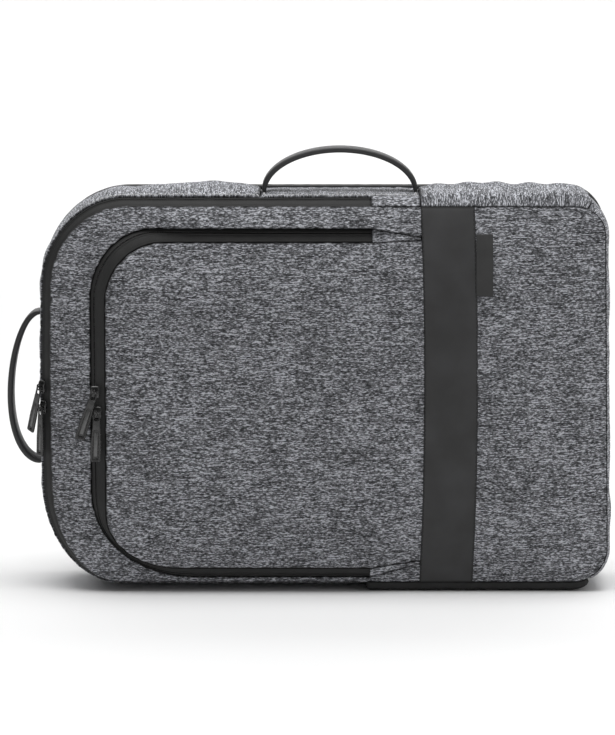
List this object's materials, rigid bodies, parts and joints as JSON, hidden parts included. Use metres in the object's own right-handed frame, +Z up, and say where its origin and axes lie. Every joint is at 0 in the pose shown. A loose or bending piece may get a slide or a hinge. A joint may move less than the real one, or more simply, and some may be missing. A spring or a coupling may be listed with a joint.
{
  "type": "convertible backpack",
  "caption": "Grey heather convertible backpack standing as a briefcase, with a front pocket, zips, a dark band, side pockets and two carry handles.",
  "frame": {"origin": "middle of the whole bag's footprint, on the ground it stands on", "axes": "+X along the bag's length, towards its base end; -Y is the front with the pocket; +Z up, towards the top handle"},
  "size_m": [0.4766, 0.118, 0.3471],
  "materials": {
    "heather": "matte grey heather polyester",
    "band": "smooth dark coated cloth",
    "black_fabric": "matte black polyester",
    "zip_tape": "black nylon zip tape",
    "strap": "satin black imitation leather",
    "zip_metal": "satin black plating",
    "rear_fabric": "matte black mesh"
  },
  "bodies": {
    "bag": {"gusset_wrap": "heather", "gusset_handle_panel": "heather", "gusset_under_upper_pocket": "heather", "gusset_under_lower_pocket": "heather", "gusset_base": "heather", "main_zip_tape": "zip_tape", "main_zip_end_tab": "heather", "upper_side_pocket": "heather", "lower_side_pocket": "black_fabric", "front_border": "heather", "pocket_panel": "heather", "pocket_zip_tape": "zip_tape", "pocket_zip_end_tab_upper": "heather", "pocket_zip_end_tab_lower": "heather", "centre_band": "band", "lower_panel": "heather", "label_tab": "black_fabric", "rear_piping": "strap", "rear_panel": "rear_fabric", "top_handle": "strap", "side_handle": "strap", "pocket_zip_slider_upper": "zip_metal", "pocket_zip_slider_lower": "zip_metal", "main_zip_slider_upper": "zip_metal", "main_zip_slider_lower": "zip_metal"},
    "pocket_pull_upper": {"pocket_zip_pull_upper": "zip_metal"},
    "pocket_pull_lower": {"pocket_zip_pull_lower": "zip_metal"},
    "main_pull_upper": {"main_zip_pull_upper": "zip_metal"},
    "main_pull_lower": {"main_zip_pull_lower": "zip_metal"}
  },
  "joints": [
    {"name": "pocket_pull_upper_hinge", "type": "hinge", "parent": "bag", "child": "pocket_pull_upper", "pos_m": [-0.16689, -0.05656, 0.16], "axis": [-0.9511, 0, 0.309], "range_deg": [0, 165]},
    {"name": "pocket_pull_lower_hinge", "type": "hinge", "parent": "bag", "child": "pocket_pull_lower", "pos_m": [-0.16529, -0.05656, 0.144], "axis": [-0.9994, 0, 0.0349], "range_deg": [0, 125]},
    {"name": "main_pull_upper_hinge", "type": "hinge", "parent": "bag", "child": "main_pull_upper", "pos_m": [-0.21105, -0.0364, 0.162], "axis": [-0.6342, 0.7088, 0.309], "range_deg": [0, 165]},
    {"name": "main_pull_lower_hinge", "type": "hinge", "parent": "bag", "child": "main_pull_lower", "pos_m": [-0.20998, -0.03759, 0.146], "axis": [-0.6664, 0.7448, 0.0349], "range_deg": [0, 125]}
  ]
}
